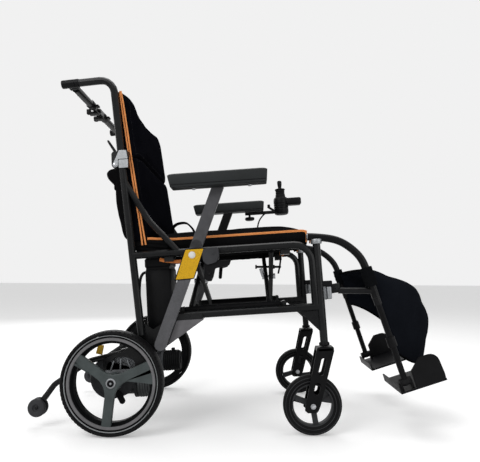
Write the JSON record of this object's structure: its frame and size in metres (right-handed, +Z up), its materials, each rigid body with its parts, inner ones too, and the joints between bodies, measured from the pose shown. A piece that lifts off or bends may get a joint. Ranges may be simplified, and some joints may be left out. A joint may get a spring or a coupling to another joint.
{
  "type": "folding power wheelchair",
  "caption": "Side-folding power wheelchair with two X-braces, half-folding back, swing-away legrests, joystick on the left armrest and anti-tip wheels.",
  "frame": {"origin": "on the floor, under the middle of the chair's outline", "axes": "+X towards the footplates, +Y towards the occupant's left, +Z up"},
  "size_m": [1.0652, 0.5815, 0.9325],
  "materials": {
    "frame_paint": "satin dark grey paint",
    "grey_paint": "satin mid grey paint",
    "black_paint": "satin black paint",
    "motor_paint": "satin black paint on a ribbed case",
    "rim_paint": "satin dark grey paint",
    "black_plastic": "matt moulded",
    "grey_plastic": "matt moulded",
    "cast_aluminium": "bare casting",
    "steel": "zinc plated",
    "rubber": "matt",
    "tyre": "solid tyre, matt",
    "vinyl": "grained vinyl over foam",
    "black_fabric": "woven nylon",
    "navy_fabric": "woven nylon over thin foam",
    "orange_fabric": "woven orange tape and piping",
    "bare_metal": "turned and left bare",
    "reflector": "fluorescent yellow reflector",
    "white_cap": "white moulded caps and bolt covers"
  },
  "bodies": {
    "right_side": {"right_side_frame": "frame_paint", "right_armrest_bar": "grey_paint", "right_armrest_latch": "grey_plastic", "right_gearbox": "cast_aluminium", "right_motor": "motor_paint", "right_anti_tip_arm": "frame_paint", "battery": "black_plastic", "motor_cable": "rubber", "back_lower": "navy_fabric", "back_pocket": "black_fabric"},
    "left_side": {"left_side_frame": "frame_paint", "left_armrest_bar": "grey_paint", "left_armrest_latch": "grey_plastic", "left_gearbox": "cast_aluminium", "left_motor": "motor_paint", "left_anti_tip_arm": "frame_paint"},
    "cross_a": {"cross_brace_a": "frame_paint", "rear_centre_bolt": "steel", "front_centre_bolt": "steel"},
    "cross_b": {"cross_brace_b": "frame_paint", "seat_cushion": "black_fabric"},
    "right_cane": {"right_upper_cane": "frame_paint", "right_handle_end": "black_plastic", "back_upper": "navy_fabric"},
    "right_bar": {"right_stretcher_bar": "frame_paint"},
    "right_lever": {"right_hinge_lever": "black_plastic"},
    "right_armrest": {"right_armrest_post": "grey_paint", "right_armrest_pad": "vinyl"},
    "right_wheel": {"right_wheel_tyre": "tyre", "right_wheel_rim": "rim_paint"},
    "right_fork": {"right_castor_fork": "frame_paint"},
    "right_castor": {"right_castor_tyre": "tyre", "right_castor_hub": "frame_paint"},
    "right_anti_tip": {"right_anti_tip_wheel": "rubber"},
    "right_legrest": {"right_hanger": "frame_paint", "right_leg_tube": "frame_paint", "calf_sling": "black_fabric"},
    "right_footplate": {"right_footplate": "black_plastic"},
    "right_freewheel": {"right_freewheel_lever": "black_plastic"},
    "left_cane": {"left_upper_cane": "frame_paint", "left_handle_end": "black_plastic"},
    "left_bar": {"left_stretcher_bar": "frame_paint"},
    "left_lever": {"left_hinge_lever": "black_plastic"},
    "left_armrest": {"left_armrest_post": "black_paint", "left_armrest_pad": "vinyl", "controller_body": "black_plastic", "controller_cable": "rubber"},
    "left_wheel": {"left_wheel_tyre": "tyre", "left_wheel_rim": "rim_paint"},
    "left_fork": {"left_castor_fork": "frame_paint"},
    "left_castor": {"left_castor_tyre": "tyre", "left_castor_hub": "frame_paint"},
    "left_anti_tip": {"left_anti_tip_wheel": "rubber"},
    "left_legrest": {"left_hanger": "frame_paint", "left_leg_tube": "frame_paint"},
    "left_footplate": {"left_footplate": "black_plastic"},
    "left_freewheel": {"left_freewheel_lever": "black_plastic"},
    "stick_gimbal": {"joystick_boot": "rubber"},
    "stick": {"joystick_knob": "black_plastic"},
    "power_button": {"power_button": "rubber"}
  },
  "joints": [
    {"name": "fold", "type": "hinge", "parent": "right_side", "child": "cross_a", "pos_m": [-0.00342, -0.2, 0.31262], "axis": [0.9976, 0, 0.0698], "range_deg": [0, 41.4], "deforming": ["seat_cushion", "back_lower", "back_upper", "back_pocket", "calf_sling"]},
    {"name": "cross_scissor", "type": "hinge", "parent": "cross_a", "child": "cross_b", "pos_m": [-0.00866, 0, 0.38769], "axis": [0.9976, 0, 0.0698], "range_deg": [-83.2, 0]},
    {"name": "left_side_fold", "type": "hinge", "parent": "cross_b", "child": "left_side", "pos_m": [-0.00342, 0.2, 0.31262], "axis": [0.9976, 0, 0.0698], "range_deg": [0, 41.6]},
    {"name": "right_bar_fold", "type": "hinge", "parent": "right_cane", "child": "right_bar", "pos_m": [-0.44826, -0.2024, 0.91455], "axis": [0.9945, 0, 0.1045], "range_deg": [-59.82, 0]},
    {"name": "left_bar_fold", "type": "hinge", "parent": "left_cane", "child": "left_bar", "pos_m": [-0.44826, 0.2024, 0.91455], "axis": [0.9945, 0, 0.1045], "range_deg": [0, 59.82]},
    {"name": "right_footplate_flip", "type": "hinge", "parent": "right_legrest", "child": "right_footplate", "pos_m": [0.43406, -0.222, 0.13171], "axis": [0.95, 0, 0.3123], "range_deg": [0, 90.2]},
    {"name": "left_footplate_flip", "type": "hinge", "parent": "left_legrest", "child": "left_footplate", "pos_m": [0.43406, 0.222, 0.13171], "axis": [0.95, 0, 0.3123], "range_deg": [-90.2, 0]},
    {"name": "back_fold", "type": "hinge", "parent": "right_side", "child": "right_cane", "pos_m": [-0.31771, -0.228, 0.68611], "axis": [0, -1, 0], "range_deg": [0, 95]},
    {"name": "left_back_fold", "type": "hinge", "parent": "left_side", "child": "left_cane", "pos_m": [-0.31771, 0.228, 0.68611], "axis": [0, -1, 0], "range_deg": [0, 95.2]},
    {"name": "right_lever_press", "type": "hinge", "parent": "right_cane", "child": "right_lever", "pos_m": [-0.32045, -0.228, 0.71098], "axis": [0, -1, 0], "range_deg": [0, 20], "stiffness_Nm_per_rad": 0.3},
    {"name": "left_lever_press", "type": "hinge", "parent": "left_cane", "child": "left_lever", "pos_m": [-0.32045, 0.228, 0.71098], "axis": [0, -1, 0], "range_deg": [0, 20], "stiffness_Nm_per_rad": 0.3},
    {"name": "right_armrest_lift", "type": "hinge", "parent": "right_side", "child": "right_armrest", "pos_m": [-0.10492, -0.249, 0.44537], "axis": [0, -1, 0], "range_deg": [0, 95]},
    {"name": "left_armrest_lift", "type": "hinge", "parent": "left_side", "child": "left_armrest", "pos_m": [-0.10492, 0.249, 0.44537], "axis": [0, -1, 0], "range_deg": [0, 95], "deforming": ["controller_cable"]},
    {"name": "right_wheel_spin", "type": "hinge", "parent": "right_side", "child": "right_wheel", "pos_m": [-0.29983, -0.262, 0.129], "axis": [0, 1, 0], "continuous": true},
    {"name": "left_wheel_spin", "type": "hinge", "parent": "left_side", "child": "left_wheel", "pos_m": [-0.29983, 0.262, 0.129], "axis": [0, 1, 0], "continuous": true},
    {"name": "right_castor_swivel", "type": "hinge", "parent": "right_side", "child": "right_fork", "pos_m": [0.23117, -0.228, 0.21926], "axis": [-0.0698, 0, 0.9976], "continuous": true},
    {"name": "right_castor_spin", "type": "hinge", "parent": "right_fork", "child": "right_castor", "pos_m": [0.19933, -0.228, 0.074], "axis": [0, 1, 0], "continuous": true},
    {"name": "left_castor_swivel", "type": "hinge", "parent": "left_side", "child": "left_fork", "pos_m": [0.23117, 0.228, 0.21926], "axis": [-0.0698, 0, 0.9976], "continuous": true},
    {"name": "left_castor_spin", "type": "hinge", "parent": "left_fork", "child": "left_castor", "pos_m": [0.19933, 0.228, 0.074], "axis": [0, 1, 0], "continuous": true},
    {"name": "right_anti_tip_spin", "type": "hinge", "parent": "right_side", "child": "right_anti_tip", "pos_m": [-0.50783, -0.2093, 0.053], "axis": [0, 1, 0], "continuous": true},
    {"name": "left_anti_tip_spin", "type": "hinge", "parent": "left_side", "child": "left_anti_tip", "pos_m": [-0.50783, 0.2093, 0.053], "axis": [0, 1, 0], "continuous": true},
    {"name": "right_legrest_swing", "type": "hinge", "parent": "right_side", "child": "right_legrest", "pos_m": [0.21303, -0.228, 0.47863], "axis": [0.0698, 0, -0.9976], "range_deg": [0, 80], "deforming": ["calf_sling"]},
    {"name": "left_legrest_swing", "type": "hinge", "parent": "left_side", "child": "left_legrest", "pos_m": [0.21303, 0.228, 0.47863], "axis": [-0.0698, 0, 0.9976], "range_deg": [0, 80], "deforming": ["calf_sling"]},
    {"name": "right_freewheel_turn", "type": "hinge", "parent": "right_side", "child": "right_freewheel", "pos_m": [-0.29532, -0.222, 0.09323], "axis": [0, -1, 0], "range_deg": [0, 40]},
    {"name": "left_freewheel_turn", "type": "hinge", "parent": "left_side", "child": "left_freewheel", "pos_m": [-0.29532, 0.222, 0.09323], "axis": [0, -1, 0], "range_deg": [0, 40]},
    {"name": "stick_pitch", "type": "hinge", "parent": "left_armrest", "child": "stick_gimbal", "pos_m": [0.14331, 0.268, 0.68727], "axis": [0, 1, 0], "range_deg": [-18, 18], "stiffness_Nm_per_rad": 0.08, "deforming": ["joystick_boot"]},
    {"name": "stick_roll", "type": "hinge", "parent": "stick_gimbal", "child": "stick", "pos_m": [0.14331, 0.268, 0.68727], "axis": [0.9976, 0, 0.0698], "range_deg": [-18, 18], "stiffness_Nm_per_rad": 0.08, "deforming": ["joystick_boot"]},
    {"name": "power_button_press", "type": "slide", "parent": "left_armrest", "child": "power_button", "axis": [0.0698, 0, -0.9976], "range_m": [0, 0.0012], "stiffness_N_per_m": 250}
  ],
  "couplings": [
    {"joint": "cross_scissor", "follows": "fold", "ratio": -2},
    {"joint": "left_side_fold", "follows": "fold", "ratio": 1},
    {"joint": "right_bar_fold", "follows": "fold", "ratio": -1.4377},
    {"joint": "left_bar_fold", "follows": "fold", "ratio": 1.4377},
    {"joint": "right_footplate_flip", "follows": "fold", "ratio": 2.1739},
    {"joint": "left_footplate_flip", "follows": "fold", "ratio": -2.1739},
    {"joint": "left_back_fold", "follows": "back_fold", "ratio": 1}
  ]
}
